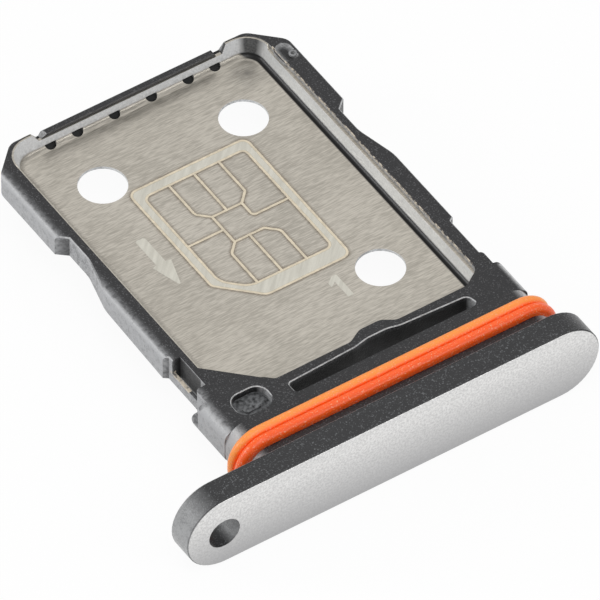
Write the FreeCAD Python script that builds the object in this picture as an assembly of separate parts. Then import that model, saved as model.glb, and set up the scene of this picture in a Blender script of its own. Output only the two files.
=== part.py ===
import FreeCAD, Part
import math
import os

V = FreeCAD.Vector

# Card pocket, sized for a 12.3 x 8.8 mm card with play all round
pocket_width = 8.90
pocket_length = 12.62
pocket_depth = 0.61
pocket_corner_radius = 0.60
card_corner_cut = 1.43
card_cut_rounding = 0.25
pocket_corner_fill = 0.35
pocket_fill_run = 0.46

# Drawn steel pan that lines the pocket
pan_thickness = 0.10
wall_lean = 0.19
side_flange_height = 0.47
low_flange_height = 0.34
corner_flange_height = 0.59
fold_radius = 0.28
flange_gap_side_inset = 1.03
corner_rise_inset = 0.62
flange_step_slope = 0.20
flange_step_rounding = 0.06
pan_front_gap = 0.03
light_hole_diameter = 1.60
light_hole_side_inset = 1.82
light_hole_back_inset = 2.28
light_hole_front_inset = 10.00
fold_hole_diameter = 0.42
fold_hole_offsets = (0.69, 2.07, 3.07)
fold_hole_setback = 0.08
fold_hole_rise = 0.14

# Moulded frame around the pan
rail_width = 0.64
frame_back_wall = 0.35
frame_under_depth = 0.36
frame_back_depth = 0.20
frame_left_rounding = 0.18
frame_edge_rounding = 0.06
frame_corner_cut = 1.00
frame_corner_radius = 0.50
ledge_width = 0.55
back_ledge_width = 0.44
ledge_corner_radius = 0.60
strip_left_gap = 0.09
strip_right_gap = 0.21
strip_end_slope = 0.14
strip_rounding = 0.18
strip_lip_rounding = 0.02
strip_overhang = 0.13
strip_setback = 0.04

# Guide notches in both rails and the narrower run ahead of the block
notch_depth = 0.35
notch_back_inset = 4.13
notch_back_run = 0.31
notch_flat_length = 1.10
notch_ramp_length = 1.44
notch_ramp_radius = 1.60
front_run_depth = 0.15
front_run_length = 1.60
front_run_slant = 0.12
shoulder_length = 0.48
shoulder_setback = 0.07
shoulder_corner_radius = 0.15
foot_length = 0.42
foot_height = 0.20
foot_corner_radius = 0.28

# Detent arm beside the left rail
detent_slot_width = 0.19
detent_slot_length = 1.41
detent_arm_thickness = 0.11
detent_arm_drop = 0.58

# Front block with the sprung beam that presses on the card
block_overhang = 0.23
block_length = 1.62
block_rise = 0.04
block_under_depth = 0.57
block_edge_rounding = 0.34
block_under_rounding = 0.18
block_corner_radius = 0.18
rim_break = 0.03
beam_setback = 0.52
beam_thickness = 0.25
beam_slot_width = 0.57
beam_slot_left_inset = 1.65
beam_slot_right_inset = 0.60
beam_slot_radius = 0.12
beam_slot_right_radius = 0.24
beam_slot_end = 0.12
beam_slot_flare = 0.10
beam_bend_radius = 1.00
beam_swell = 0.11
bump_height = 0.30
bump_left = 0.24
bump_top_left = 0.30
bump_top_right = 1.02
bump_right = 1.46
bump_radius = 0.40

# Gate recess in the top of the block and ejector marks on the right rail
gate_recess_length = 1.25
gate_recess_width = 0.96
gate_recess_depth = 0.34
gate_recess_side_inset = 0.86
gate_recess_back_inset = 0.40
gate_recess_radius = 0.40
gate_stub_length = 0.62
gate_stub_width = 0.30
gate_stub_height = 0.07
gate_stub_radius = 0.13
pad_width = 0.64
pad_length = 1.02
pad_dimple_depth = 0.09
pad_rim = 0.04
pad_side_inset = 0.39
pad_back_inset = 1.52
ring_mark_diameter = 0.30
ring_mark_pip = 0.12
ring_mark_depth = 0.03
ring_mark_side_inset = 0.22
ring_mark_back_inset = 1.60

# Collar that carries the sealing ring, behind the cap
collar_setback = 0.02
collar_half_height = 0.93
collar_corner_radius = 0.75
collar_front_land = 0.56
collar_back_land = 0.50
tongue_length = 0.42
tongue_side_inset = 1.00
tongue_face_inset = 0.33
tongue_corner_radius = 0.20

# Sealing ring with two lips
seal_overhang = 0.35
seal_rise = 0.30
seal_corner_radius = 1.15
seal_thickness = 0.49
seal_lip_width = 0.38
seal_clearance = 0.01

# Cap, the only piece seen from outside the phone
cap_length = 15.22
cap_height = 2.77
cap_thickness = 0.93
cap_edge_break = 0.04
cap_offset = 1.185
cap_drop = 0.09
pin_hole_diameter = 1.12
pin_hole_end_inset = 1.35
pin_hole_drop = 0.10
socket_clearance = 0.01

# Reach of a cut past the piece it cuts, lap of joined forms, and the least straight run between two arcs
past = 1.0
overlap = 0.2
sliver = 0.001

# Tests that pick edges: how far from a face or a side an edge may lie
near = 0.01
side_band = 0.5

# Levels and stations worked out from the sizes above; the front face of the cap is at y = 0
mid_z = cap_height / 2
floor_z = mid_z + cap_drop
rail_top = floor_z + pocket_depth
rail_under = floor_z - frame_under_depth
seal_width = 2 * seal_lip_width
groove_front = cap_thickness + collar_front_land
groove_back = groove_front + seal_width + 2 * seal_clearance
block_front = groove_back + collar_back_land
block_back = block_front + block_length
pocket_front = block_back - beam_setback
pocket_back = pocket_front + pocket_length
frame_back = pocket_back + frame_back_wall
total_length = frame_back
pocket_half = pocket_width / 2
wall_slope = wall_lean / side_flange_height
pan_skin = pan_thickness * math.sqrt(1 + wall_slope * wall_slope)
rail_inner = pocket_half + wall_lean + pan_skin
flange_gap_half_width = pocket_half - flange_gap_side_inset
frame_half_width = rail_inner + rail_width
shoulder_half_width = frame_half_width - shoulder_setback
block_half_width = frame_half_width + block_overhang
collar_half_width = block_half_width - collar_setback
tongue_half_width = collar_half_width - tongue_side_inset
tongue_half_height = collar_half_height - tongue_face_inset
seal_half_width = collar_half_width + seal_overhang
seal_half_height = collar_half_height + seal_rise
shift = V(cap_offset, -total_length / 2, 0)


def rounded_wire(corners):
    """Closed outline in the XY plane; each corner is (x, y, radius)."""
    edges = []
    ends = []
    count = len(corners)
    for i in range(count):
        x, y, r = corners[i]
        here = V(x, y, 0)
        if r <= 0:
            ends.append((here, here, None))
            continue
        before = V(corners[i - 1][0], corners[i - 1][1], 0) - here
        after = V(corners[(i + 1) % count][0], corners[(i + 1) % count][1], 0) - here
        before.normalize()
        after.normalize()
        half = before.getAngle(after) / 2
        reach = r / math.tan(half)
        middle = before + after
        middle.normalize()
        crest = here + middle * (r / math.sin(half) - r)
        ends.append((here + before * reach, here + after * reach, crest))
    for i in range(count):
        start, stop, crest = ends[i]
        if crest is not None:
            edges.append(Part.Arc(start, crest, stop).toShape())
        next_start = ends[(i + 1) % count][0]
        if stop.distanceToPoint(next_start) > 1e-6:
            edges.append(Part.makeLine(stop, next_start))
    return Part.Wire(edges)


def prism(corners, z0, z1):
    """Straight block between two levels over a rounded outline."""
    face = Part.Face(rounded_wire(corners))
    face.translate(V(0, 0, z0))
    return face.extrude(V(0, 0, z1 - z0))


def through(corners):
    """Prism over the whole height of the tray and a little past it."""
    return prism(corners, -past, cap_height + past)


def slab(half_width, half_height, radius, y0, y1):
    """Block along Y with a rounded-rectangle section, centred on the cap's mid height."""
    box = [(-half_width, -half_height, radius), (half_width, -half_height, radius),
           (half_width, half_height, radius), (-half_width, half_height, radius)]
    face = Part.Face(rounded_wire(box))
    face.rotate(V(0, 0, 0), V(1, 0, 0), 90)
    face.translate(V(0, y0, mid_z))
    return face.extrude(V(0, y1 - y0, 0))


def edges_at_level(shape, z, keep):
    """Edges that lie wholly at height z and whose middle passes the test keep(x, y)."""
    found = []
    for edge in shape.Edges:
        box = edge.BoundBox
        if abs(box.ZMin - z) < 1e-4 and abs(box.ZMax - z) < 1e-4:
            middle = edge.valueAt((edge.FirstParameter + edge.LastParameter) / 2)
            if keep(middle.x, middle.y):
                found.append(edge)
    return found


def tub(skin):
    """Leaning-wall tub; skin 0 gives the hollow that holds the card, skin t the pan's outside."""
    spread = skin * math.sqrt(1 + wall_slope * wall_slope)
    levels = []
    for z in (-skin, corner_flange_height):
        grow = wall_slope * z + spread
        half = pocket_half + grow
        back = pocket_back + grow
        corner = pocket_corner_radius + grow
        wire = rounded_wire([(-half, pocket_front - past, 0), (half, pocket_front - past, 0),
                             (half, back, corner), (-half, back, corner)])
        wire.translate(V(0, 0, floor_z + z))
        levels.append(wire)
    solid = Part.makeLoft(levels, True, True)
    foot = edges_at_level(solid, floor_z - skin, lambda x, y: y > pocket_front - past + near)
    return solid.makeFillet(fold_radius + skin, foot)


def pocket_reach(gap):
    """Outline of the pocket seen from above; its front edge follows the cut corner and the bump."""
    front = pocket_front + gap
    left = -pocket_half - past
    cut_y = front + card_corner_cut + past
    cut_x = left + cut_y - front
    fill = pocket_corner_fill
    return [(left, frame_back + past, 0), (left, cut_y, 0), (cut_x, front, card_cut_rounding),
            (-bump_left, front, bump_radius), (bump_top_left, front + bump_height, bump_radius),
            (bump_top_right, front + bump_height, bump_radius), (bump_right, front, bump_radius),
            (pocket_half - fill, front, fill), (rail_inner, front + pocket_fill_run, fill),
            (rail_inner + overlap, frame_back + past, 0)]


def slot_profile(points, plane_axis, start, length):
    """Block with a section drawn in side view (height above the pan's floor), swept along an axis."""
    face = Part.Face(rounded_wire(points))
    face.rotate(V(0, 0, 0), V(1, 0, 0), 90)
    if plane_axis == "X":
        face.rotate(V(0, 0, 0), V(0, 0, 1), 90)
        face.translate(V(start, 0, floor_z))
        return face.extrude(V(length, 0, 0))
    face.translate(V(0, start, floor_z))
    return face.extrude(V(0, length, 0))


def flange_gaps():
    """Space above the low back flange and above the side flanges, between the raised corners."""
    wide = flange_gap_half_width
    high = corner_flange_height + past
    lean = flange_step_slope * (high - low_flange_height) / (corner_flange_height - low_flange_height)
    back_gap = slot_profile([(-wide, low_flange_height, flange_step_rounding),
                             (wide, low_flange_height, flange_step_rounding),
                             (wide + lean, high, 0), (-wide - lean, high, 0)], "Y", pocket_back - past, 2 * past)
    reach = pocket_back - corner_rise_inset
    side_gap = slot_profile([(pocket_front - past, side_flange_height, 0),
                             (reach, side_flange_height, flange_step_rounding),
                             (reach + high - side_flange_height, high, 0), (pocket_front - past, high, 0)],
                            "X", -frame_half_width - past, 2 * (frame_half_width + past))
    return [back_gap, side_gap]


def light_holes():
    """Three round holes through the floor of the pan."""
    side = pocket_half - light_hole_side_inset
    spots = [(-side, light_hole_back_inset), (side, light_hole_back_inset), (side, light_hole_front_inset)]
    return [Part.makeCylinder(light_hole_diameter / 2, 2 * past, V(x, pocket_back - inset, floor_z - past))
            for x, inset in spots]


def fold_holes():
    """Half-round perforations along the foot of the back flange."""
    y = pocket_back + fold_hole_setback
    return [Part.makeCylinder(fold_hole_diameter / 2, past + fold_hole_rise, V(side * offset, y, floor_z - past))
            for offset in fold_hole_offsets for side in (-1, 1)]


def make_pan():
    pan = tub(pan_thickness).cut(tub(0))
    pan = pan.common(through(pocket_reach(pan_front_gap)))
    return pan.cut(flange_gaps() + light_holes() + fold_holes())


def rail_side():
    """Right side of the frame from front to back: narrow run, guide notch with its ramp, cut corner."""
    w = frame_half_width
    run = w - front_run_depth
    inner = w - notch_depth
    run_back = block_back + shoulder_length + front_run_length
    start = frame_back - notch_back_inset
    flat_back = start - notch_back_run
    flat_front = flat_back - notch_flat_length
    finish = flat_front - notch_ramp_length
    return [(run, block_front, 0), (run, run_back, 0), (w, run_back + front_run_slant, 0), (w, finish, notch_ramp_radius),
            (inner, flat_front, notch_ramp_radius), (inner, flat_back, 0), (w, start, 0),
            (w, frame_back - frame_corner_cut, frame_corner_radius), (w - frame_corner_cut, frame_back, frame_corner_radius)]


def rail_body():
    """Plate-shaped body of the frame; its underside rises behind the narrow run."""
    w = frame_half_width
    right = rail_side()
    outline = right + [(-x, y, r) for x, y, r in reversed(right)]
    body = prism(outline, rail_under, rail_top)
    top = edges_at_level(body, rail_top, lambda x, y: y > block_front + near)
    body = body.makeFillet(frame_edge_rounding, top)
    soft = Part.makeBox(2 * w + past, frame_back, rail_top - rail_under, V(-w, block_front, rail_under))
    soft = soft.makeFillet(frame_left_rounding, edges_at_level(soft, rail_top, lambda x, y: x < near - w))
    rise_start = right[2][1]
    rise_end = right[3][1]
    low = slot_profile([(rise_start, -frame_under_depth, 0), (rise_end, -frame_back_depth, 0),
                        (frame_back + past, -frame_back_depth, 0), (frame_back + past, -past, 0),
                        (rise_start, -past, 0)], "X", -w - past, 2 * (w + past))
    return body.common(soft).cut(low)


def make_block():
    """Raised block between the pocket and the collar."""
    w = block_half_width
    block = prism([(-w, block_front, 0), (w, block_front, 0), (w, block_back, block_corner_radius),
                   (-w, block_back, block_corner_radius)], floor_z - block_under_depth, rail_top + block_rise)
    top = edges_at_level(block, rail_top + block_rise, lambda x, y: abs(x) > w - side_band and y > block_front + near)
    block = block.makeFillet(block_edge_rounding, top)
    low = edges_at_level(block, floor_z - block_under_depth, lambda x, y: abs(x) > w - side_band and y > block_front + near)
    block = block.makeFillet(block_under_rounding, low)
    block = block.cut([beam_slot(), gate_recess()[0]])
    rims = edges_at_level(block, rail_top + block_rise,
                          lambda x, y: abs(x) < w - side_band and block_front + near < y < block_back - near)
    return block.makeChamfer(rim_break, rims)


def make_shoulder():
    """Narrow shoulder between the block and the rails, and the low foot around it."""
    low = floor_z - block_under_depth
    parts = []
    for half, length, r, top in ((shoulder_half_width, shoulder_length, shoulder_corner_radius, rail_top),
                                 (block_half_width, foot_length, foot_corner_radius, low + foot_height)):
        back = block_back + length
        parts.append(prism([(-half, block_front, 0), (half, block_front, 0), (half, back, r), (-half, back, r)],
                           low, top))
    foot = parts[1]
    under = edges_at_level(foot, low, lambda x, y: abs(x) > block_half_width - side_band and y > block_front + near)
    return [parts[0], foot.makeFillet(block_under_rounding, under)]


def beam_slot():
    """Slot through the block that frees the sprung beam."""
    back = pocket_front - beam_thickness
    front = back - beam_slot_width
    end = back - beam_slot_end
    swell = back + beam_swell
    left = beam_slot_left_inset - pocket_half
    right = pocket_half - beam_slot_right_inset
    r = beam_slot_radius
    bend = beam_bend_radius
    return through([(left, end, r), (left, front, r), (right + beam_slot_flare, front, r),
                    (right, end, beam_slot_right_radius), (bump_right, back, bend), (bump_top_right, swell, bend),
                    (bump_top_left, swell, bend), (-bump_left, back, bend)])


def detent_slot():
    """Slot that parts the thin detent arm from the left rail, and the relief above the arm."""
    outer = -frame_half_width + front_run_depth
    front = block_back + shoulder_length
    inner = outer + detent_arm_thickness
    slot = Part.makeBox(detent_slot_width, detent_slot_length, cap_height, V(inner, front, 0))
    relief = Part.makeBox(detent_arm_thickness + past, detent_slot_length, past,
                          V(outer - past, front, rail_top - detent_arm_drop))
    return [slot, relief]


def gate_recess():
    """Round-ended recess in the block's top, with the stub of the moulding gate left inside."""
    x0 = gate_recess_side_inset - block_half_width
    x1 = x0 + gate_recess_length
    y1 = block_back - gate_recess_back_inset
    y0 = y1 - gate_recess_width
    bottom = rail_top + block_rise - gate_recess_depth
    r = gate_recess_radius
    recess = prism([(x0, y0, r), (x1, y0, r), (x1, y1, r), (x0, y1, r)], bottom, bottom + gate_recess_depth + past)
    mx = (x0 + x1) / 2
    my = (y0 + y1) / 2
    s = gate_stub_width / 2
    half = gate_stub_length / 2
    r = gate_stub_radius
    stub = prism([(mx - half, my - s, r), (mx + half, my - s, r), (mx + half, my + s, r), (mx - half, my + s, r)],
                 bottom - overlap, bottom + gate_stub_height)
    return recess, stub


def flange_pad():
    """Long round-ended pad on the right rail that laps the pan's flange, and the scoop in its top."""
    x = frame_half_width - pad_side_inset
    y = frame_back - pad_back_inset
    w = pad_width / 2
    run = pad_length / 2
    r = w - sliver
    pad = prism([(x - w, y - run, r), (x + w, y - run, r), (x + w, y + run, r), (x - w, y + run, r)],
                floor_z + side_flange_height, rail_top)
    ball = ((w - pad_rim) ** 2 + pad_dimple_depth ** 2) / (2 * pad_dimple_depth)
    level = rail_top - pad_dimple_depth + ball
    scoop = Part.makeCylinder(ball, 2 * (run - w), V(x, y - run + w, level), V(0, 1, 0))
    ends = [Part.makeSphere(ball, V(x, y + side * (run - w), level)) for side in (-1, 1)]
    return pad, scoop.fuse(ends)


def ring_mark():
    """Small ejector ring mark beside the pad."""
    spot = V(frame_half_width - ring_mark_side_inset, frame_back - ring_mark_back_inset, rail_top - ring_mark_depth)
    ring = Part.makeCylinder(ring_mark_diameter / 2, past, spot)
    return ring.cut(Part.makeCylinder(ring_mark_pip / 2, past, spot))


def back_strip():
    """Strip along the back edge that caps the low flange and leans over the card."""
    low = low_flange_height
    foot = pocket_back + wall_slope * low + strip_setback
    lip = foot - strip_overhang
    left = strip_left_gap - flange_gap_half_width
    right = flange_gap_half_width - strip_right_gap
    body = slot_profile([(foot, low, 0), (frame_back, low, 0), (frame_back, pocket_depth, strip_rounding),
                         (lip, pocket_depth, strip_lip_rounding)], "X", left, right - left)
    ends = slot_profile([(left, low, 0), (right, low, 0), (right - strip_end_slope, pocket_depth, 0),
                         (left + strip_end_slope, pocket_depth, 0)], "Y", pocket_front, frame_back)
    return body.common(ends)


def pocket_void():
    """Room for the pan and the card, open at the top."""
    upper_back = pocket_back + wall_lean + pan_skin
    upper_corner = pocket_corner_radius + wall_lean + pan_skin
    upper = prism([(-rail_inner, pocket_front - past, 0), (rail_inner, pocket_front - past, 0),
                   (rail_inner, upper_back, upper_corner), (-rail_inner, upper_back, upper_corner)],
                  floor_z + side_flange_height - sliver, cap_height + past)
    void = tub(pan_thickness).cut(flange_gaps()[1]).fuse(upper)
    return void.common(through(pocket_reach(0)))


def under_window():
    """Window below the pan that leaves a ledge on three sides and frees the beam."""
    half = pocket_half - ledge_width
    back = pocket_back - back_ledge_width
    window = prism([(-half, pocket_front - past, 0), (half, pocket_front - past, 0),
                    (half, back, ledge_corner_radius), (-half, back, ledge_corner_radius)],
                   -past, floor_z - pan_thickness)
    return window.common(through(pocket_reach(0)))


def seal_seat(y0, y1):
    """Core of the collar that the ring sits on."""
    return slab(seal_half_width - seal_thickness, seal_half_height - seal_thickness,
                seal_corner_radius - seal_thickness, y0, y1)


def make_collar():
    """Collar with the seal groove, and the tongue that seats in the cap."""
    front = slab(collar_half_width, collar_half_height, collar_corner_radius, cap_thickness, groove_front)
    core = seal_seat(cap_thickness, block_front + overlap)
    back = slab(collar_half_width, collar_half_height, collar_corner_radius, groove_back, block_front)
    tongue = slab(tongue_half_width, tongue_half_height, tongue_corner_radius, cap_thickness - tongue_length,
                  cap_thickness + overlap)
    return front.fuse([core, back, tongue])


def make_frame():
    frame = rail_body().fuse([make_block()] + make_shoulder())
    recess, stub = gate_recess()
    pad, scoop = flange_pad()
    frame = frame.cut([pocket_void(), under_window(), beam_slot(), recess, flange_gaps()[0]] + detent_slot())
    frame = frame.fuse([stub, make_collar(), back_strip(), pad])
    return frame.removeSplitter().cut([scoop, ring_mark()])


def make_seal():
    """Ring of two rounded lips side by side, put together from straight runs and quarter turns."""
    y = groove_front + seal_clearance
    r = seal_lip_width / 2
    x = seal_half_width - seal_corner_radius
    z = seal_half_height - seal_corner_radius
    low = seal_half_height - seal_thickness
    high = seal_half_height
    section = Part.Wire([Part.makeLine(V(x, y, low), V(x, y, high - r)),
                         Part.Arc(V(x, y, high - r), V(x, y + r, high), V(x, y + 2 * r, high - r)).toShape(),
                         Part.Arc(V(x, y + 2 * r, high - r), V(x, y + 3 * r, high), V(x, y + 4 * r, high - r)).toShape(),
                         Part.makeLine(V(x, y + 4 * r, high - r), V(x, y + 4 * r, low)),
                         Part.makeLine(V(x, y + 4 * r, low), V(x, y, low))])
    top_end = Part.Face(section)
    side_end = top_end.copy()
    side_end.rotate(V(x, 0, z), V(0, 1, 0), 90)
    turn = top_end.revolve(V(x, 0, z), V(0, 1, 0), 90)
    quarter = turn.fuse([top_end.extrude(V(-x, 0, 0)), side_end.extrude(V(0, 0, -z))])
    half = quarter.fuse(quarter.mirror(V(0, 0, 0), V(1, 0, 0)))
    ring = half.fuse(half.mirror(V(0, 0, 0), V(0, 0, 1))).removeSplitter()
    ring.translate(V(0, 0, mid_z))
    return ring


def make_cap():
    """Long round-ended cap with the release pin's hole and the socket for the tongue."""
    r = cap_height / 2
    x0 = -cap_offset - cap_length / 2
    x1 = -cap_offset + cap_length / 2
    end = r - sliver
    face = Part.Face(rounded_wire([(x0, -r, end), (x1, -r, end), (x1, r, end), (x0, r, end)]))
    face.rotate(V(0, 0, 0), V(1, 0, 0), 90)
    face.translate(V(0, 0, mid_z))
    cap = face.extrude(V(0, cap_thickness, 0))
    cap = cap.makeChamfer(cap_edge_break, [e for e in cap.Edges if e.BoundBox.YLength < 1e-4])
    pin = Part.makeCylinder(pin_hole_diameter / 2, cap_thickness + 2 * past,
                            V(x0 + pin_hole_end_inset, -past, mid_z - pin_hole_drop), V(0, 1, 0))
    socket = slab(tongue_half_width + socket_clearance, tongue_half_height + socket_clearance, tongue_corner_radius,
                  cap_thickness - tongue_length, cap_thickness + past)
    return cap.cut([pin, socket])


os.makedirs("parts", exist_ok=True)
for name, shape in (("card_pan", make_pan()), ("tray_frame", make_frame()), ("seal_ring", make_seal()),
                    ("end_cap", make_cap())):
    shape.translate(shift)
    shape.exportStep("parts/" + name + ".step")
    print(name, shape.isValid(), len(shape.Solids), round(shape.Volume, 4), shape.BoundBox)
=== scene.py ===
import bpy
import math
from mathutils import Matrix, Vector


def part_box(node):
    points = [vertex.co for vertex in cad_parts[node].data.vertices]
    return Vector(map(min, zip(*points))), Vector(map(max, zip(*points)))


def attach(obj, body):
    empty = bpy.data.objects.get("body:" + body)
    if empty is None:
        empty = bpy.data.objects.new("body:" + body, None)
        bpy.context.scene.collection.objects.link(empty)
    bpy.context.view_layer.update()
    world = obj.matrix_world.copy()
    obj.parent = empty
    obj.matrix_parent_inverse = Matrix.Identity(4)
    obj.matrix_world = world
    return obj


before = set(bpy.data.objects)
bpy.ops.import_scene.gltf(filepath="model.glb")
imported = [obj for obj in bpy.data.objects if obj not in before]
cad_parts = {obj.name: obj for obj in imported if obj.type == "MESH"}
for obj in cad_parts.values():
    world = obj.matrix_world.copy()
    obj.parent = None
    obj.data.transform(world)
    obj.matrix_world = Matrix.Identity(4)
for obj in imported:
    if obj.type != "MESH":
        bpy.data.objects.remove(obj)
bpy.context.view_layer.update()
mm = 0.001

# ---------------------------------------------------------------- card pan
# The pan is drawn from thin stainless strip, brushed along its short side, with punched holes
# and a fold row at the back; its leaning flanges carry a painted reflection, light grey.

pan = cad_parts["card_pan"]
pan_low, pan_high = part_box("card_pan")
pan_thickness = 0.10 * mm
plate_z = pan_low.z + pan_thickness
tray_x = (pan_low.x + pan_high.x) / 2
plate_height = plate_z / mm
middle_x = tray_x / mm
steel = (0.40, 0.372, 0.322, 1)
steel_light = (0.59, 0.552, 0.485, 1)
steel_painted_dark = (0.03, 0.03, 0.03, 1)
steel_side_reflection = (0.74, 0.745, 0.74, 1)
steel_back_reflection = (0.78, 0.79, 0.80, 1)
steel_bend_reflection = (0.02, 0.02, 0.02, 1)
steel_mottle_and_shade = (0.36, 0.365, 0.37, 1)
steel_roughness = 0.34
steel_anisotropy = 0.4
line_depth = 0.15
line_height = 0.01 * mm
plate_metallic = 0.65
flange_metallic = 0.20
fold_metallic = 0.35
dark_cloud_place = (4.98, 7.32, plate_height)
dark_cloud_reach = 0.85


def new_group(name, inputs, outputs):
    """Empty shader node group; inputs are (name, type, default) and outputs (name, type)."""
    group = bpy.data.node_groups.new(name, "ShaderNodeTree")
    for label, kind, default in inputs:
        group.interface.new_socket(label, in_out="INPUT", socket_type=kind).default_value = default
    for label, kind in outputs:
        group.interface.new_socket(label, in_out="OUTPUT", socket_type=kind)
    enter = group.nodes.new("NodeGroupInput")
    leave = group.nodes.new("NodeGroupOutput")
    return group, enter, leave


def node(tree, kind, links=None, **values):
    """Node of one kind with its settings and inputs; links maps an input to a socket or a value."""
    made = tree.nodes.new(kind)
    for key, value in values.items():
        setattr(made, key, value)
    for key, value in (links or {}).items():
        if isinstance(value, bpy.types.NodeSocket):
            tree.links.new(value, made.inputs[key])
        else:
            made.inputs[key].default_value = value
    return made


def millimetres(tree):
    """Place on the object in millimetres."""
    place = node(tree, "ShaderNodeTexCoord")
    scaled = node(tree, "ShaderNodeVectorMath", {0: place.outputs["Object"], 1: (1000, 1000, 1000)},
                  operation="MULTIPLY")
    return scaled.outputs[0]


def calc(tree, operation, *values):
    """Result of one Math node on sockets or values."""
    return node(tree, "ShaderNodeMath", dict(enumerate(values)), operation=operation).outputs[0]


def stretched_noise(tree, place, stretch, scale, detail=3.0):
    """Noise stretched along the axes by the three factors, value 0 to 1."""
    drawn = node(tree, "ShaderNodeVectorMath", {0: place, 1: stretch}, operation="MULTIPLY")
    noise = node(tree, "ShaderNodeTexNoise", {"Vector": drawn.outputs[0], "Scale": scale, "Detail": detail})
    return noise.outputs["Fac"]


def even_noise(tree, place, scale, detail=3.0):
    """Noise of the same size along all the axes, value 0 to 1."""
    return stretched_noise(tree, place, (1, 1, 1), scale, detail)


def height_of(tree, place):
    """Height of a place, the third of its three parts."""
    return node(tree, "ShaderNodeSeparateXYZ", {"Vector": place}).outputs["Z"]


def ramp(tree, value, stops):
    """Colour ramp over a value; stops are (position, colour)."""
    made = node(tree, "ShaderNodeValToRGB", {"Fac": value})
    elements = made.color_ramp.elements
    elements[0].position, elements[0].color = stops[0]
    elements[1].position, elements[1].color = stops[-1]
    for position, colour in stops[1:-1]:
        elements.new(position).color = colour
    return made.outputs["Color"]


def to_range(tree, value, low, high, start=0.0, end=1.0):
    """Value carried from one range to another and held inside it."""
    return node(tree, "ShaderNodeMapRange", {"Value": value, "From Min": low, "From Max": high,
                                             "To Min": start, "To Max": end}).outputs["Result"]


def mix_colour(tree, share, first, second):
    """Mix of two colours, each a socket or a value."""
    made = node(tree, "ShaderNodeMix", data_type="RGBA")
    for index, value in ((0, share), (6, first), (7, second)):
        if isinstance(value, bpy.types.NodeSocket):
            tree.links.new(value, made.inputs[index])
        else:
            made.inputs[index].default_value = value
    return made.outputs[2]


def facing(tree):
    """The three parts of the surface's direction."""
    direction = node(tree, "ShaderNodeNewGeometry").outputs["Normal"]
    return node(tree, "ShaderNodeSeparateXYZ", {"Vector": direction}).outputs


def grey(value):
    """Colour with the three parts alike."""
    return (value, value, value, 1)


def brushed_group():
    """Brushed lines along X: a colour factor, a roughness and a normal. Leaning walls are rougher,
    and the lines fade out on them."""
    group, enter, leave = new_group(
        "brushed_lines",
        [("Roughness", "NodeSocketFloat", 0.35), ("Depth", "NodeSocketFloat", 0.3)],
        [("Tone", "NodeSocketFloat"), ("Roughness", "NodeSocketFloat"), ("Normal", "NodeSocketVector")])
    place = millimetres(group)
    coarse = stretched_noise(group, place, (2.2, 22.0, 22.0), 1.0, 2.0)
    fine = stretched_noise(group, place, (3.2, 36.0, 36.0), 1.0, 1.0)
    cloud = stretched_noise(group, place, (0.5, 0.5, 0.5), 1.0, 3.0)
    lines = calc(group, "ADD", coarse, fine)
    tone = calc(group, "MULTIPLY_ADD", cloud, 0.5, lines)
    level = facing(group)["Z"]
    rough = calc(group, "ADD", to_range(group, fine, 0.3, 0.7, -0.06, 0.06), enter.outputs["Roughness"])
    rough = calc(group, "ADD", rough, to_range(group, level, 0.6, 0.4, 0.0, 0.20))
    depth = calc(group, "MULTIPLY", enter.outputs["Depth"], to_range(group, level, 0.95, 0.6, 1.0, 0.0))
    bump = node(group, "ShaderNodeBump", {"Strength": depth, "Distance": line_height, "Height": lines})
    group.links.new(to_range(group, tone, 1.04, 1.46), leave.inputs["Tone"])
    group.links.new(rough, leave.inputs["Roughness"])
    group.links.new(bump.outputs["Normal"], leave.inputs["Normal"])
    return group


brushed_lines = brushed_group()


def new_material(name):
    """New material, its node tree and its Principled shader."""
    made = bpy.data.materials.new(name)
    made.use_nodes = True
    tree = made.node_tree
    return made, tree, tree.nodes["Principled BSDF"]


def place_group(tree, group, **values):
    """Group placed in a material with its own values."""
    placed = tree.nodes.new("ShaderNodeGroup")
    placed.node_tree = group
    for key, value in values.items():
        placed.inputs[key.replace("_", " ")].default_value = value
    return placed


pan_steel, tree, shader = new_material("pan_steel_brushed")
place = millimetres(tree)
lean = facing(tree)
lines = place_group(tree, brushed_lines, Roughness=steel_roughness, Depth=line_depth)
tone = ramp(tree, lines.outputs["Tone"], [(0.0, steel), (1.0, steel_light)])

# the plate, with painted shade in the fold of the right wall and a little in that of the back wall,
# and a cloudy darker patch by the back right corner
turned = calc(tree, "MAXIMUM", to_range(tree, lean["X"], -0.05, -0.25),
              to_range(tree, lean["Y"], -0.30, -0.60, 0.0, 0.35))
# painted shade: the plate is painted near black where it turns up into the walls
fold_shade = calc(tree, "MULTIPLY", to_range(tree, lean["Z"], 0.99, 0.95), turned)
plate = mix_colour(tree, fold_shade, tone, steel_painted_dark)
# a cloudy patch near the back right corner is painted darker
away = node(tree, "ShaderNodeVectorMath", {0: place, 1: dark_cloud_place}, operation="DISTANCE").outputs["Value"]
cloudy = to_range(tree, even_noise(tree, place, 2.5), 0.3, 0.7, 0.25, 0.60)
dark_cloud = calc(tree, "MULTIPLY", to_range(tree, away, dark_cloud_reach, 0.05), cloudy)
plate = mix_colour(tree, dark_cloud, plate, steel_painted_dark)
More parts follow.
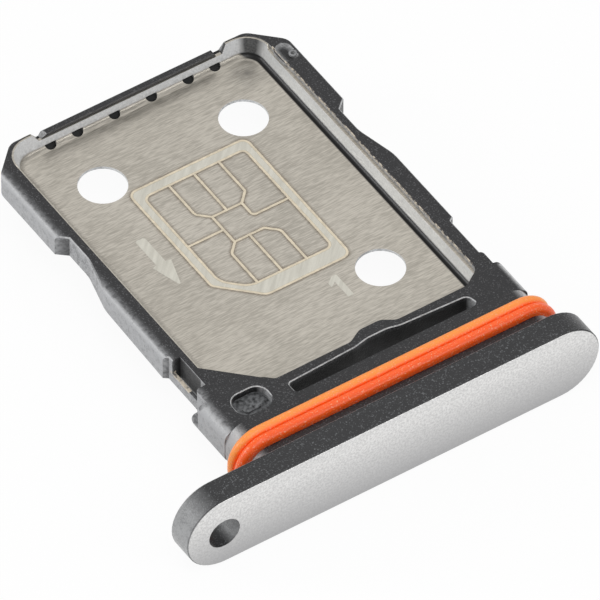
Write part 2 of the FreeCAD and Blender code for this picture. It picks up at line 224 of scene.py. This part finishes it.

# the flanges, with a painted dark reflection round the bend of the back right corner and painted shade along the
# back one's foot
# painted reflection: the flanges are painted light grey, the side flanges and the back one in two tones
flange_light_and_mottle = mix_colour(tree, to_range(tree, lean["Y"], -0.2, -0.7), steel_side_reflection, steel_back_reflection)
# painted reflection: the bend of the back right corner is painted near black
bend_reflection = calc(tree, "MULTIPLY", to_range(tree, lean["X"], -0.22, -0.45), to_range(tree, lean["Y"], -0.15, -0.50))
bend_reflection = calc(tree, "MULTIPLY", bend_reflection, to_range(tree, lean["Z"], 0.10, 0.25, 0.0, 0.92))
flange_light_and_mottle = mix_colour(tree, bend_reflection, flange_light_and_mottle, steel_bend_reflection)
# painted shade: the back flange is painted duller near its foot, broken up by noise
foot_shade = to_range(tree, height_of(tree, place), plate_height + 0.30, plate_height + 0.06)
foot_shade = calc(tree, "MULTIPLY", foot_shade, to_range(tree, lean["Y"], -0.5, -0.8))
foot_shade = calc(tree, "MULTIPLY", foot_shade, to_range(tree, even_noise(tree, place, 8.0), 0.35, 0.65, 0.0, 0.75))
flange_light_and_mottle = mix_colour(tree, foot_shade, flange_light_and_mottle, steel_mottle_and_shade)
speckle = to_range(tree, even_noise(tree, place, 16.0), 0.35, 0.70, 0.0, 0.30)
flange_light_and_mottle = mix_colour(tree, speckle, flange_light_and_mottle, steel_mottle_and_shade)

upright = to_range(tree, lean["Z"], 0.58, 0.44)
metal = to_range(tree, upright, 0, 1, plate_metallic, flange_metallic)
tree.links.new(mix_colour(tree, upright, plate, flange_light_and_mottle), shader.inputs["Base Color"])
tree.links.new(calc(tree, "MULTIPLY_ADD", fold_shade, fold_metallic, metal), shader.inputs["Metallic"])
tree.links.new(lines.outputs["Roughness"], shader.inputs["Roughness"])
tree.links.new(lines.outputs["Normal"], shader.inputs["Normal"])
shader.inputs["Anisotropic"].default_value = steel_anisotropy
pan.data.materials.clear()
pan.data.materials.append(pan_steel)

# ---------------------------------------------------------------- laser marks
# A pale card outline with its contact lines, an arrow that shows which way the card goes in and
# the slot's numeral are burnt into the steel by a laser; a straw-coloured halo runs along each line.

halo_lift = 0.001 * mm
frost_lift = 0.004 * mm
line_lift = 0.006 * mm
lift_step = 0.0001 * mm
line_half_width = 0.050 * mm
halo_half_width = 0.150 * mm
mark_pale = (0.80, 0.71, 0.55, 1)
mark_halo = (0.26, 0.185, 0.115, 1)
frost_low = (0.605, 0.585, 0.515, 1)
frost_high = (0.715, 0.695, 0.62, 1)
hatch_angle = math.radians(-45)
step_length = 0.96
start_left = 0.23
start_front = 1.702


def plate_point(u, v, lift):
    """Point on the plate; u and v are millimetres from the tray's middle line and from the scene's middle."""
    return (tray_x + u * mm, v * mm, plate_z + lift)


def arc_points(corners, steps=6):
    """Outline through the corners (u, v, radius) with arcs at each radius; the two ends stay sharp."""
    points = [Vector(corners[0][:2])]
    for before, here, after in zip(corners, corners[1:], corners[2:]):
        p, q, s = Vector(before[:2]), Vector(here[:2]), Vector(after[:2])
        a, b = (p - q).normalized(), (s - q).normalized()
        if here[2] <= 0:
            points.append(q)
            continue
        half = a.angle(b) / 2
        reach = here[2] / math.tan(half)
        centre = q + (a + b).normalized() * here[2] / math.sin(half)
        start, end = q + a * reach - centre, q + b * reach - centre
        turn = start.angle_signed(end)
        for i in range(steps + 1):
            angle = -turn * i / steps
            points.append(centre + Vector((start.x * math.cos(angle) - start.y * math.sin(angle),
                                           start.x * math.sin(angle) + start.y * math.cos(angle))))
    points.append(Vector(corners[-1][:2]))
    return points


def ribbon(sheet, points, half_width, lift, closed):
    """Adds a flat strip of three rows along the points; across runs from -1 to 1 over its width."""
    verts, faces, across = sheet
    start = len(verts)
    count = len(points)
    for i, here in enumerate(points):
        ahead = points[(i + 1) % count] if closed else points[min(i + 1, count - 1)]
        behind = points[i - 1] if closed or i > 0 else points[0]
        run = ahead - behind
        side = Vector((-run.y, run.x)).normalized() * half_width / mm
        for k in (-1, 0, 1):
            verts.append(plate_point(here.x + side.x * k, here.y + side.y * k, lift))
            across.append(k)
    last = count if closed else count - 1
    for i in range(last):
        a, b = start + 3 * i, start + 3 * ((i + 1) % count)
        faces.append((a, a + 1, b + 1, b))
        faces.append((a + 1, a + 2, b + 2, b + 1))


def from_steps(u, v):
    """Place on the plate in millimetres, from one measured in steps that start a little left of
    the tray's middle line and in front of the scene's middle."""
    return (step_length * (u - start_left), step_length * v - start_front)


icon_outer = [(-2.04, 7.00, 0.27), (2.50, 7.00, 0.27), (2.50, 0.79, 0.30), (-0.74, 0.79, 0.35), (-2.04, 2.09, 0.25)]
icon_inner = [(-1.73, 6.60, 0.27), (2.21, 6.60, 0.20), (2.21, 1.40, 0.25), (-1.01, 1.40, 0.75), (-1.73, 2.12, 0.75)]
contact_lines = [
    [(-0.74, 6.60, 0), (-0.74, 5.04, 0.20), (-0.34, 4.64, 0.12), (0.81, 4.64, 0.12), (1.20, 5.03, 0.20),
     (1.20, 6.60, 0)],
    [(0.23, 6.60, 0), (0.23, 4.64, 0)],
    [(-0.34, 4.66, 0), (-0.34, 3.30, 0)],
    [(-1.73, 3.96, 0), (-0.34, 3.96, 0)],
    [(0.81, 4.64, 0), (0.81, 3.98, 0.14), (2.21, 3.98, 0)],
    [(-0.71, 1.40, 0), (-0.71, 2.93, 0.25), (-0.32, 3.32, 0.10), (0.80, 3.32, 0.15), (1.20, 2.93, 0.25),
     (1.20, 1.36, 0)],
    [(0.24, 3.32, 0), (0.24, 1.36, 0)],
]


def measured(corners):
    """Corners (u, v, radius) carried from measured steps to millimetres."""
    return [(*from_steps(u, v), step_length * r) for u, v, r in corners]


def closed_outline(corners):
    """Rounded closed outline on the plate, begun at the middle of its last side."""
    ring = measured(corners)
    middle = [((ring[0][0] + ring[-1][0]) / 2, (ring[0][1] + ring[-1][1]) / 2, 0)]
    return arc_points(middle + ring + middle)[:-1]


paths = [(closed_outline(corners), True) for corners in (icon_outer, icon_inner)]
paths += [(arc_points(measured(corners)), False) for corners in contact_lines]


def line_object(name, half_width, lift):
    """Mesh object of one strip for each path, with the place across the strip kept as an attribute."""
    sheet = ([], [], [])
    for i, (points, closed) in enumerate(paths):
        ribbon(sheet, points, half_width, lift + i * lift_step, closed)
    mesh = bpy.data.meshes.new(name)
    mesh.from_pydata(sheet[0], [], sheet[1])
    layer = mesh.attributes.new("across", "FLOAT", "POINT")
    for i, value in enumerate(sheet[2]):
        layer.data[i].value = value
    made = bpy.data.objects.new(name, mesh)
    bpy.context.collection.objects.link(made)
    return made


def strip_material(name, colour, stops):
    """Laser line material; stops give how far the colour covers from the middle to the rim."""
    made, tree, shader = new_material(name)
    spread = node(tree, "ShaderNodeAttribute", attribute_name="across")
    edge = calc(tree, "ABSOLUTE", spread.outputs["Fac"])
    speck = even_noise(tree, millimetres(tree), 14.0)
    wander = calc(tree, "ADD", edge, to_range(tree, speck, 0.3, 0.7, -0.12, 0.12))
    cover = ramp(tree, wander, [(place, grey(value)) for place, value in stops])
    cloud = even_noise(tree, millimetres(tree), 5.0)
    deeper = tuple(0.82 * part for part in colour[:3]) + (1,)
    tree.links.new(mix_colour(tree, to_range(tree, cloud, 0.35, 0.65), colour, deeper), shader.inputs["Base Color"])
    tree.links.new(cover, shader.inputs["Alpha"])
    shader.inputs["Metallic"].default_value = 0.5
    shader.inputs["Roughness"].default_value = 0.5
    return made


laser_halo = strip_material("laser_halo", mark_halo, [(0.0, 0.36), (0.45, 0.30), (0.62, 0.14), (1.0, 0.0)])
laser_line = strip_material("laser_line", mark_pale, [(0.0, 1.0), (0.72, 1.0), (1.0, 0.0)])
for name, half_width, lift, paint in (("laser_halos", halo_half_width, halo_lift, laser_halo),
                                      ("laser_lines", line_half_width, line_lift, laser_line)):
    strips = line_object(name, half_width, lift)
    strips.data.materials.append(paint)
    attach(strips, "root")


def flat_fill(name, outlines, lift):
    """Flat mesh between closed outlines on the plate."""
    curve = bpy.data.curves.new(name, "CURVE")
    curve.dimensions = "2D"
    curve.fill_mode = "BOTH"
    for outline in outlines:
        spline = curve.splines.new("POLY")
        spline.points.add(len(outline) - 1)
        for point, place in zip(spline.points, outline):
            point.co = (tray_x + place.x * mm, place.y * mm, 0, 1)
        spline.use_cyclic_u = True
    holder = bpy.data.objects.new(name, curve)
    bpy.context.collection.objects.link(holder)
    mesh = bpy.data.meshes.new_from_object(holder)
    bpy.data.objects.remove(holder)
    for vertex in mesh.vertices:
        vertex.co.z = plate_z + lift
    mesh.name = name
    made = bpy.data.objects.new(name, mesh)
    bpy.context.collection.objects.link(made)
    return made


laser_frost, tree, shader = new_material("laser_frost")
place = millimetres(tree)
hatch = node(tree, "ShaderNodeVectorRotate", {"Vector": place, "Angle": hatch_angle}, rotation_type="Z_AXIS")
stroke = stretched_noise(tree, hatch.outputs[0], (1.0, 9.0, 1.0), 1.0, 2.0)
rough = to_range(tree, even_noise(tree, place, 30.0), 0.3, 0.7, 0.45, 0.7)
tree.links.new(ramp(tree, stroke, [(0.3, frost_low), (0.7, frost_high)]), shader.inputs["Base Color"])
tree.links.new(rough, shader.inputs["Roughness"])
shader.inputs["Metallic"].default_value = 0.6

icon_band = flat_fill("laser_band", [closed_outline(icon_outer), closed_outline(icon_inner)], frost_lift)
arrow_shape = arc_points(measured([
    (-2.85, 5.10, 0), (-2.67, 5.10, 0.09), (-2.67, 3.85, 0), (-2.47, 3.82, 0.04), (-2.83, 2.63, 0.05),
    (-3.20, 3.80, 0.04), (-3.03, 3.85, 0), (-3.03, 5.12, 0.09), (-2.85, 5.11, 0)]))
arrow = flat_fill("laser_arrow", [arrow_shape], frost_lift)
numeral_shape = [Vector(from_steps(u, v)) for u, v in (
    (1.38, -0.74), (1.60, -0.74), (1.60, 0.30), (1.42, 0.30), (1.16, 0.10), (1.16, -0.10), (1.38, 0.04))]
numeral = flat_fill("laser_numeral", [numeral_shape], frost_lift)
for piece in (icon_band, arrow, numeral):
    piece.data.materials.append(laser_frost)
    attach(piece, "root")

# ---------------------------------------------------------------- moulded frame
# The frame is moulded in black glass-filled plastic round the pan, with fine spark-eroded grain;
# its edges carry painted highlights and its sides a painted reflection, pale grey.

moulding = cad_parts["tray_frame"]
frame_low, frame_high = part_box("tray_frame")
# places and sizes from here to the colours are plain millimetres, as the material reads them
cap_front = -8.42
block_back_inset = 4.38
block_back = cap_front + block_back_inset
block_overhang = 0.23
block_rise = 0.04
rail_half_width = 5.388
rail_width = 0.64
front_run_depth = 0.15
pocket_depth = 0.61
rail_top = plate_height + pocket_depth
rim_left = frame_low.x / mm
rail_inner = frame_high.x / mm - block_overhang - rail_width
arm_drop = 0.58
arm_x = middle_x - rail_half_width + front_run_depth
arm_y = -3.19
arm_z = plate_height + pocket_depth - arm_drop
recess_side_inset = 0.86
recess_back_inset = 0.40
recess_half_length = 0.625
recess_half_width = 0.48
recess_depth = 0.34
recess_x = rim_left + recess_side_inset + recess_half_length
recess_y = block_back - recess_back_inset - recess_half_width
recess_z = rail_top + block_rise - recess_depth
strip_half_length = 3.6
strip_front, strip_back = 7.95, 8.45
slid_back = 7.4
plastic_black = (0.013, 0.013, 0.0145, 1)
plastic_shade = (0.001, 0.001, 0.001, 1)
plastic_hollow = (0.17, 0.174, 0.18, 1)
plastic_dust = (0.09, 0.09, 0.095, 1)
plastic_edge_highlight = (0.56, 0.565, 0.57, 1)
plastic_painted_light = (0.42, 0.425, 0.435, 1)
plastic_scuff = (0.62, 0.55, 0.45, 1)
grain_height = 0.02 * mm


def grain_group():
    """Fine moulded grain: a speck mask, a slow cloud and a normal."""
    group, enter, leave = new_group(
        "moulded_grain",
        [("Grain size", "NodeSocketFloat", 0.05), ("Depth", "NodeSocketFloat", 0.3),
         ("Speck share", "NodeSocketFloat", 0.3)],
        [("Specks", "NodeSocketFloat"), ("Cloud", "NodeSocketFloat"), ("Normal", "NodeSocketVector")])
    place = millimetres(group)
    rate = calc(group, "DIVIDE", 1.0, enter.outputs["Grain size"])
    grain = node(group, "ShaderNodeTexNoise", {"Vector": place, "Scale": rate, "Detail": 2.0}).outputs["Fac"]
    cloud = node(group, "ShaderNodeTexNoise", {"Vector": place, "Scale": 1.3, "Detail": 3.0}).outputs["Fac"]
    level = calc(group, "SUBTRACT", 0.86, enter.outputs["Speck share"])
    above = calc(group, "SUBTRACT", grain, level)
    bump = node(group, "ShaderNodeBump", {"Strength": enter.outputs["Depth"], "Distance": grain_height,
                                          "Height": grain})
    group.links.new(to_range(group, above, 0.0, 0.12), leave.inputs["Specks"])
    group.links.new(to_range(group, cloud, 0.35, 0.65), leave.inputs["Cloud"])
    group.links.new(bump.outputs["Normal"], leave.inputs["Normal"])
    return group


def painted_light_group():
    """Masks for painted highlights and painted reflections, broken up by noise: rounded edges between a
    top and its sides, the outer sides, and the end that faces left. Edges below Lowest or turned to the back get
    none."""
    group, enter, leave = new_group(
        "painted_light_masks",
        [("Lowest", "NodeSocketFloat", 0.0)],
        [("Edge", "NodeSocketFloat"), ("Side", "NodeSocketFloat"), ("Left end", "NodeSocketFloat")])
    lean = facing(group)
    place = millimetres(group)
    broken = calc(group, "ADD", even_noise(group, place, 5.0), even_noise(group, place, 21.0, 1.0))
    across = calc(group, "ABSOLUTE", lean["X"])
    upper = calc(group, "MULTIPLY", to_range(group, lean["Z"], 0.985, 0.78), to_range(group, lean["Z"], 0.05, 0.25))
    level = calc(group, "GREATER_THAN", height_of(group, place), enter.outputs["Lowest"])
    upper = calc(group, "MULTIPLY", upper, level)
    upper = calc(group, "MULTIPLY", upper, to_range(group, lean["Y"], 0.08, 0.25, 1.0, 0.0))
    for label, mask, low in (("Edge", upper, 0.60), ("Side", to_range(group, across, 0.55, 0.95), 0.50),
                             ("Left end", to_range(group, lean["X"], -0.15, -0.95), 0.70)):
        patchy = calc(group, "MULTIPLY", mask, to_range(group, broken, 0.8, 1.1, low, 1.0))
        group.links.new(patchy, leave.inputs[label])
    return group


moulded_grain = grain_group()
painted_light_masks = painted_light_group()


def box_mask(tree, place, amount, box):
    """Amount kept inside a box, given as a low and a high end in millimetres for each axis."""
    for label, low, high in zip("XYZ", box[::2], box[1::2]):
        inside = calc(tree, "COMPARE", place[label], (low + high) / 2, (high - low) / 2)
        amount = calc(tree, "MULTIPLY", amount, inside)
    return amount


frame_black, tree, shader = new_material("frame_black_grained")
grain = place_group(tree, moulded_grain, Grain_size=0.05, Depth=0.9, Speck_share=0.285)
light_masks = place_group(tree, painted_light_masks, Lowest=plate_height + 0.2)
everywhere = millimetres(tree)
place = node(tree, "ShaderNodeSeparateXYZ", {"Vector": everywhere}).outputs
lean = facing(tree)

# dusty black on the tops, with painted shade lower down: deep black in the slots and recesses
dust_and_shade = mix_colour(tree, grain.outputs["Specks"], plastic_black, plastic_dust)
recess_shade = to_range(tree, place["Z"], rail_top - 0.05, rail_top - 0.18)
dust_and_shade = mix_colour(tree, recess_shade, dust_and_shade, plastic_shade)

# painted highlights on the edges and a painted reflection on the sides, but few edge highlights on the strip over
# the low back flange
strip = box_mask(tree, place, 0.85,
                 (middle_x - strip_half_length, middle_x + strip_half_length, strip_front, strip_back,
                  rail_top - 0.5, rail_top + 0.4))
edge = calc(tree, "MULTIPLY", light_masks.outputs["Edge"], to_range(tree, strip, 0, 1, 1.0, 0.0))
painted_light_and_wear = mix_colour(tree, edge, dust_and_shade, plastic_edge_highlight)
painted_light_and_wear = mix_colour(tree, light_masks.outputs["Side"], painted_light_and_wear, plastic_painted_light)

# painted highlight: the left rim of the top is painted lighter towards its outer edge, which lies further out along
# the block
step = to_range(tree, place["Y"], block_back - 0.03, block_back + 0.03, rim_left + 0.14, rim_left + block_overhang)
inward = calc(tree, "SUBTRACT", place["X"], step)
rim_highlight = calc(tree, "POWER", to_range(tree, inward, 0.40, 0.06, 0.0, 1.0), 2.0)
rim_highlight = calc(tree, "MULTIPLY", rim_highlight, to_range(tree, even_noise(tree, everywhere, 7.0), 0.35, 0.6, 0.30, 0.85))
painted_light_and_wear = mix_colour(tree, rim_highlight, painted_light_and_wear, plastic_painted_light)

# the detent arm is paler in cream streaks; the wall on the far side of its slot keeps its dust and painted shade,
# without painted edge or side light
arm = box_mask(tree, place, stretched_noise(tree, everywhere, (1.0, 0.4, 1.0), 9.0),
               (arm_x - 0.03, arm_x + 0.14, arm_y + 0.10, arm_y + 1.15, arm_z - 0.06, arm_z + 0.06))
painted_light_and_wear = mix_colour(tree, to_range(tree, arm, 0.40, 0.55), painted_light_and_wear, plastic_scuff)
wall = box_mask(tree, place, 0.85,
                (arm_x + 0.26, arm_x + 0.34, arm_y - 0.1, arm_y + 1.5, rail_top - 0.9, rail_top - 0.04))
painted_light_and_wear = mix_colour(tree, wall, painted_light_and_wear, dust_and_shade)

# the gate recess has a paler floor, and the right rail's inner edge is scuffed where the card slides
hollow = box_mask(tree, place, even_noise(tree, everywhere, 8.0),
                  (recess_x - 0.64, recess_x + 0.64, recess_y - 0.50, recess_y + 0.50,
                   recess_z - 0.05, recess_z + 0.09))
painted_light_and_wear = mix_colour(tree, to_range(tree, hollow, 0.25, 0.60), painted_light_and_wear, plastic_hollow)
slid = box_mask(tree, place, stretched_noise(tree, everywhere, (1.0, 0.6, 1.0), 13.0),
                (rail_inner - 0.03, rail_inner + 0.035, block_back + 0.2, slid_back,
                 rail_top - 0.08, rail_top + 0.01))
painted_light_and_wear = mix_colour(tree, to_range(tree, slid, 0.42, 0.60), painted_light_and_wear, plastic_scuff)

# the small break along edges that face the back end is too soft to catch the light
back_rim = calc(tree, "MULTIPLY", to_range(tree, lean["Y"], 0.02, 0.10), to_range(tree, lean["Z"], 0.30, 0.45))
softened = node(tree, "ShaderNodeMix", {0: back_rim, 4: grain.outputs["Normal"], 5: (0, 0, 1)}, data_type="VECTOR")
rough = calc(tree, "ADD", to_range(tree, grain.outputs["Cloud"], 0, 1, 0.36, 0.46),
             to_range(tree, recess_shade, 0, 1, 0.0, 0.25))
tree.links.new(painted_light_and_wear, shader.inputs["Base Color"])
tree.links.new(rough, shader.inputs["Roughness"])
tree.links.new(softened.outputs[1], shader.inputs["Normal"])
shader.inputs["IOR"].default_value = 1.50
shader.inputs["Sheen Weight"].default_value = 0.2
shader.inputs["Sheen Roughness"].default_value = 0.3
moulding.data.materials.clear()
moulding.data.materials.append(frame_black)

# ---------------------------------------------------------------- ejector ring
# The raised ring is part of the frame's own plastic: the hollow end of an ejector pin leaves it in
# the scoop of the pad on the right rail when the hot moulding is pushed out.

ring_place = (tray_x + 5.168 * mm, 6.82 * mm, plate_z + 0.605 * mm)
ring_profile = [(0.070, -0.10), (0.070, -0.015), (0.085, 0.0), (0.125, 0.0), (0.140, -0.015), (0.140, -0.10)]
ring_steps = 32
ring_low_grey = (0.18, 0.183, 0.19, 1)
ring_high_grey = (0.36, 0.365, 0.37, 1)

verts, faces = [], []
count = len(ring_profile)
for i in range(ring_steps):
    angle = 2 * math.pi * i / ring_steps
    here, there = i * count, (i + 1) % ring_steps * count
    verts += [(ring_place[0] + r * mm * math.cos(angle), ring_place[1] + r * mm * math.sin(angle),
               ring_place[2] + z * mm) for r, z in ring_profile]
    faces += [(here + k, there + k, there + k + 1, here + k + 1) for k in range(count - 1)]
mesh = bpy.data.meshes.new("ejector_ring")
mesh.from_pydata(verts, [], faces)
ejector_ring = bpy.data.objects.new("ejector_ring", mesh)
bpy.context.collection.objects.link(ejector_ring)
# the ring is coloured a paler grey than the frame, in a cloudy mix of two greys
ring_pale_grey, tree, shader = new_material("ejector_ring_pale_grey")
grain = place_group(tree, moulded_grain, Grain_size=0.05, Depth=0.5, Speck_share=0.30)
tree.links.new(mix_colour(tree, grain.outputs["Cloud"], ring_low_grey, ring_high_grey), shader.inputs["Base Color"])
tree.links.new(grain.outputs["Normal"], shader.inputs["Normal"])
shader.inputs["Roughness"].default_value = 0.4
mesh.materials.append(ring_pale_grey)
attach(ejector_ring, "root")

# ---------------------------------------------------------------- sealing ring
# The ring is orange liquid silicone moulded round the collar, with two soft lips that keep water
# out; its skin is smooth with a little dust.

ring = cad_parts["seal_ring"]
ring_low, ring_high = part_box("seal_ring")
groove_y = (ring_low.y + ring_high.y) / 2 / mm
silicone = (1.0, 0.31, 0.055, 1)
silicone_shade = (1.0, 0.115, 0.01, 1)
silicone_dust = (1.0, 0.42, 0.25, 1)
light_reach = 0.3 * mm

seal_orange, tree, shader = new_material("seal_orange_silicone")
grain = place_group(tree, moulded_grain, Grain_size=0.05, Depth=0.35, Speck_share=0.27)
place = node(tree, "ShaderNodeSeparateXYZ", {"Vector": millimetres(tree)}).outputs
# painted shade: from the groove forward, the front lip is painted a deeper red-orange
front_lip_shade = to_range(tree, place["Y"], groove_y + 0.10, groove_y + 0.01)
skin = mix_colour(tree, front_lip_shade, silicone, silicone_shade)
tree.links.new(mix_colour(tree, grain.outputs["Specks"], skin, silicone_dust), shader.inputs["Base Color"])
tree.links.new(to_range(tree, grain.outputs["Specks"], 0, 1, 0.34, 0.5), shader.inputs["Roughness"])
tree.links.new(grain.outputs["Normal"], shader.inputs["Normal"])
shader.inputs["Subsurface Weight"].default_value = 0.25
shader.inputs["Subsurface Scale"].default_value = light_reach
shader.inputs["Subsurface Radius"].default_value = (1.0, 0.4, 0.1)
ring.data.materials.clear()
ring.data.materials.append(seal_orange)

# ---------------------------------------------------------------- cap
# The cap is the part seen from outside the phone: a black die-cast piece whose front face is
# coated silver; the release pin's hole goes right through near its left end.

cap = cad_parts["end_cap"]
cap_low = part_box("end_cap")[0]
coat_silver = (0.645, 0.64, 0.635, 1)
coat_bright = (0.855, 0.85, 0.84, 1)
coat_shade = (0.39, 0.39, 0.395, 1)
cast_black = (0.016, 0.016, 0.0175, 1)
cast_sparkle = (0.12, 0.125, 0.13, 1)
cast_painted_reflection = (0.34, 0.345, 0.35, 1)

cap_coated, tree, shader = new_material("cap_coated_face")
place = node(tree, "ShaderNodeSeparateXYZ", {"Vector": millimetres(tree)}).outputs
face_mask = to_range(tree, place["Y"], cap_low.y / mm + 0.012, cap_low.y / mm + 0.004)
grain = place_group(tree, moulded_grain, Grain_size=0.05, Depth=0.6, Speck_share=0.285)
light_masks = place_group(tree, painted_light_masks)
side = mix_colour(tree, grain.outputs["Specks"], cast_black, cast_sparkle)
# painted reflection: the cap's left end is painted paler grey
side = mix_colour(tree, light_masks.outputs["Left end"], side, cast_painted_reflection)
sparkle = to_range(tree, even_noise(tree, millimetres(tree), 14.0), 0.36, 0.64)
# painted shade: the silver face is painted darker towards its lower edge
face_shade = to_range(tree, place["Z"], cap_low.z / mm + 2.2, cap_low.z / mm + 0.1, 0.0, 0.9)
face = mix_colour(tree, face_shade, mix_colour(tree, sparkle, coat_silver, coat_bright), coat_shade)
tree.links.new(mix_colour(tree, face_mask, side, face), shader.inputs["Base Color"])
tree.links.new(face_mask, shader.inputs["Metallic"])
tree.links.new(to_range(tree, face_mask, 0, 1, 0.42, 0.38), shader.inputs["Roughness"])
tree.links.new(grain.outputs["Normal"], shader.inputs["Normal"])
shader.inputs["Sheen Weight"].default_value = 0.5
shader.inputs["Sheen Roughness"].default_value = 0.3
cap.data.materials.clear()
cap.data.materials.append(cap_coated)

# ---------------------------------------------------------------- studio
# A plain white floor and four soft boxes: the key over the tray, fills from the left and the front,
# and a weak one high at the back. The camera stands where the photograph was taken, far off with a
# long lens.

floor_size = 0.6
floor_drop = 0.02 * mm
floor_grey = 0.86
floor_glow = 0.94
world_light = 0.60

bpy.ops.mesh.primitive_plane_add(size=floor_size, location=(0, 0, -floor_drop))
floor = bpy.context.object
floor.name = "floor"
floor_white, tree, shader = new_material("floor_white")
shader.inputs["Base Color"].default_value = grey(floor_grey)
shader.inputs["Roughness"].default_value = 0.9
shader.inputs["Specular IOR Level"].default_value = 0.1
glow = node(tree, "ShaderNodeEmission", {"Color": grey(1.0), "Strength": 1.0})
path = node(tree, "ShaderNodeLightPath").outputs
seen = calc(tree, "MAXIMUM", path["Is Camera Ray"], path["Is Glossy Ray"])
blend = node(tree, "ShaderNodeMixShader", {0: calc(tree, "MULTIPLY", seen, floor_glow)})
tree.links.new(shader.outputs[0], blend.inputs[1])
tree.links.new(glow.outputs[0], blend.inputs[2])
tree.links.new(blend.outputs[0], tree.nodes["Material Output"].inputs["Surface"])
floor.data.materials.append(floor_white)

world = bpy.data.worlds.new("studio")
bpy.context.scene.world = world
world.use_nodes = True
tree = world.node_tree
path = node(tree, "ShaderNodeLightPath").outputs
seen = calc(tree, "MAXIMUM", path["Is Camera Ray"], path["Is Transmission Ray"])
tree.links.new(to_range(tree, seen, 0, 1, world_light, 1.0), tree.nodes["Background"].inputs["Strength"])
tree.nodes["Background"].inputs["Color"].default_value = grey(1.0)

target = Vector(plate_point(*from_steps(0, 0), 0))
camera_azimuth, camera_elevation, camera_distance = -33.57, 46.86, 0.4925


def direction(azimuth, elevation):
    """Way from the tray to a lamp or the camera; azimuth in degrees from the cap's side."""
    a, e = math.radians(azimuth), math.radians(elevation)
    return Vector((math.sin(a) * math.cos(e), -math.cos(a) * math.cos(e), math.sin(e)))


def aim(holder, way, distance):
    """Puts a lamp or camera that far off along the way, looking back at the tray."""
    bpy.context.collection.objects.link(holder)
    holder.location = target + way * distance
    holder.rotation_euler = (-way).to_track_quat("-Z", "Y").to_euler()


for name, azimuth, elevation, distance, size, watts in (
        ("back_box", 146.4, 63, 0.15, 0.12, 0.018),
        ("key_box", -20, 65, 0.20, 0.10, 0.10),
        ("left_box", -128, 22, 0.20, 0.06, 0.11),
        ("front_box", 28, 35, 0.20, 0.05, 0.04)):
    lamp = bpy.data.lights.new(name, "AREA")
    lamp.size = size
    lamp.energy = watts
    aim(bpy.data.objects.new(name, lamp), direction(azimuth, elevation), distance)

lens = bpy.data.cameras.new("photo_camera")
lens.lens = 954
lens.sensor_width = 36
lens.clip_start = 0.01
lens.clip_end = 10
camera = bpy.data.objects.new("photo_camera", lens)
aim(camera, direction(camera_azimuth, camera_elevation), camera_distance)
bpy.context.scene.camera = camera
bpy.context.scene.view_settings.view_transform = "Standard"
